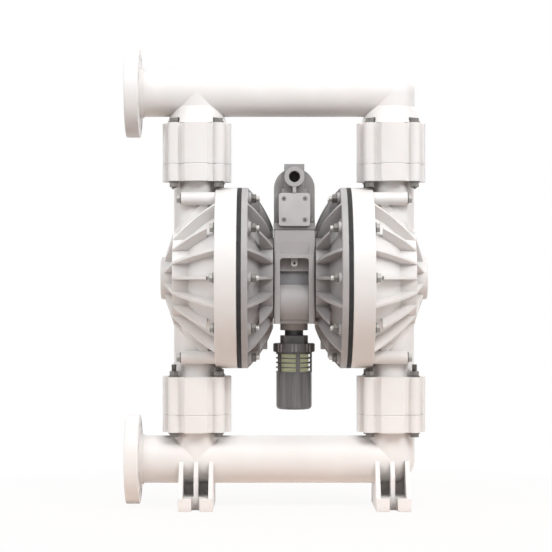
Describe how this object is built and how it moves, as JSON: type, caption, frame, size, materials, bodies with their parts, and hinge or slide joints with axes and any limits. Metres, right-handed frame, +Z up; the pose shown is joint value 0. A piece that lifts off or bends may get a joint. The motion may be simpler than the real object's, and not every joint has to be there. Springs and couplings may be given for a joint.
{
  "type": "air operated double diaphragm pump",
  "caption": "White plastic air operated double diaphragm pump with flanged manifolds, ribbed chambers, ball valves, grey centre block, air valve and muffler.",
  "frame": {"origin": "on the floor, at the centre of the four foot slots, under the middle of the shaft", "axes": "+Z up, +X along the shaft and away from the two port flanges, -Y towards the front with the air inlet"},
  "size_m": [0.6765, 0.4068, 1.0317],
  "materials": {
    "white_polypropylene": "satin moulded",
    "grey_casting": "satin grey coat",
    "dark_rubber": "matte",
    "fastener_steel": "plain",
    "machined_steel": "turned",
    "bearing_bronze": "turned",
    "muffler_plastic": "moulded",
    "filter_element": "sintered"
  },
  "bodies": {
    "pump_frame": {"air_chamber_screws": "fastener_steel", "air_valve_body": "grey_casting", "air_valve_bolts": "fastener_steel", "air_valve_gasket": "dark_rubber", "centre_block": "grey_casting", "left_air_chamber": "grey_casting", "left_air_chamber_gasket": "dark_rubber", "left_chamber_bolts": "fastener_steel", "left_chamber_nuts": "fastener_steel", "left_chamber_washers": "fastener_steel", "left_liquid_chamber": "white_polypropylene", "left_lower_seat": "white_polypropylene", "left_upper_seat": "white_polypropylene", "lower_manifold": "white_polypropylene", "lower_pod_bolts": "fastener_steel", "lower_pod_nuts": "fastener_steel", "lower_pod_washers": "fastener_steel", "muffler_base": "muffler_plastic", "muffler_cage": "muffler_plastic", "muffler_cup": "muffler_plastic", "muffler_element": "filter_element", "pilot_rod_bushes": "bearing_bronze", "right_air_chamber": "grey_casting", "right_air_chamber_gasket": "dark_rubber", "right_chamber_bolts": "fastener_steel", "right_chamber_nuts": "fastener_steel", "right_chamber_washers": "fastener_steel", "right_liquid_chamber": "white_polypropylene", "right_lower_seat": "white_polypropylene", "right_upper_seat": "white_polypropylene", "seat_seal_rings": "dark_rubber", "shaft_bushes": "bearing_bronze", "shaft_seals": "dark_rubber", "upper_manifold": "white_polypropylene", "upper_pod_bolts": "fastener_steel", "upper_pod_nuts": "fastener_steel", "upper_pod_washers": "fastener_steel", "valve_cover_plate": "grey_casting", "valve_cover_screws": "fastener_steel", "valve_plug": "machined_steel", "valve_sleeve": "bearing_bronze"},
    "shaft_assembly": {"shaft": "machined_steel", "left_inner_plate": "grey_casting", "right_inner_plate": "grey_casting", "left_outer_plate": "white_polypropylene", "right_outer_plate": "white_polypropylene", "left_diaphragm": "dark_rubber", "right_diaphragm": "dark_rubber"},
    "pilot_rod": {"pilot_rod": "machined_steel"},
    "valve_spool": {"valve_spool": "machined_steel"},
    "left_lower_ball": {"left_lower_ball": "dark_rubber"},
    "right_lower_ball": {"right_lower_ball": "dark_rubber"},
    "left_upper_ball": {"left_upper_ball": "dark_rubber"},
    "right_upper_ball": {"right_upper_ball": "dark_rubber"}
  },
  "joints": [
    {"name": "shaft_slide", "type": "slide", "parent": "pump_frame", "child": "shaft_assembly", "axis": [1, 0, 0], "range_m": [-0.025, 0.025], "deforming": ["right_diaphragm", "left_diaphragm"]},
    {"name": "pilot_rod_slide", "type": "slide", "parent": "pump_frame", "child": "pilot_rod", "axis": [1, 0, 0], "range_m": [-0.006, 0.006]},
    {"name": "valve_spool_slide", "type": "slide", "parent": "pump_frame", "child": "valve_spool", "axis": [0, 0, 1], "range_m": [0, 0.014]},
    {"name": "left_lower_ball_lift", "type": "slide", "parent": "pump_frame", "child": "left_lower_ball", "axis": [0, 0, 1], "range_m": [0, 0.018]},
    {"name": "right_lower_ball_lift", "type": "slide", "parent": "pump_frame", "child": "right_lower_ball", "axis": [0, 0, 1], "range_m": [0, 0.018]},
    {"name": "left_upper_ball_lift", "type": "slide", "parent": "pump_frame", "child": "left_upper_ball", "axis": [0, 0, 1], "range_m": [0, 0.018]},
    {"name": "right_upper_ball_lift", "type": "slide", "parent": "pump_frame", "child": "right_upper_ball", "axis": [0, 0, 1], "range_m": [0, 0.018]}
  ],
  "couplings": [
    {"joint": "pilot_rod_slide", "follows": "shaft_slide", "ratio": 0.24}
  ]
}
